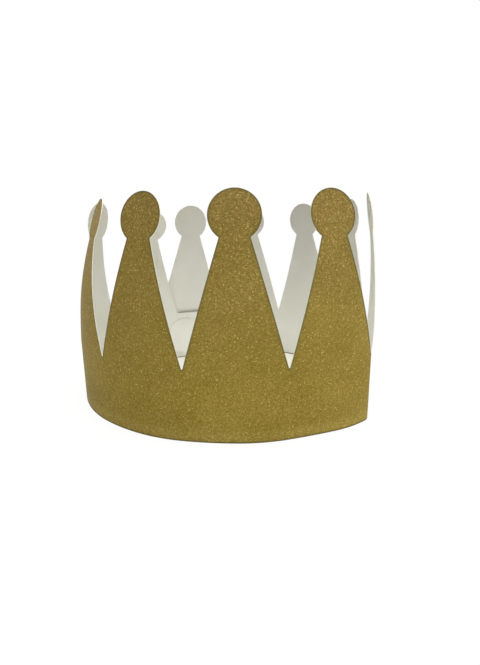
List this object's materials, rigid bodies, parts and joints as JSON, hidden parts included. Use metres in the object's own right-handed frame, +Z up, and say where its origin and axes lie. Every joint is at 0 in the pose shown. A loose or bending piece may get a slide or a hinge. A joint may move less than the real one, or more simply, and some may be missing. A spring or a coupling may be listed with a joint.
{
  "type": "paper crown",
  "caption": "Paper crown: a die-cut strip of glitter card with ball-topped points, rolled into a ring and closed by a tongue in a slit.",
  "frame": {"origin": "on the ground, under the middle of the crown's bounding box", "axes": "+Z up, -Y towards the front point, +X to the right as seen from the front"},
  "size_m": [0.1978, 0.1806, 0.1285],
  "materials": {
    "gold_glitter_card": "gold glitter on the outside, plain off-white card on the inside"
  },
  "bodies": {
    "root": {"crown": "gold_glitter_card"}
  },
  "joints": []
}
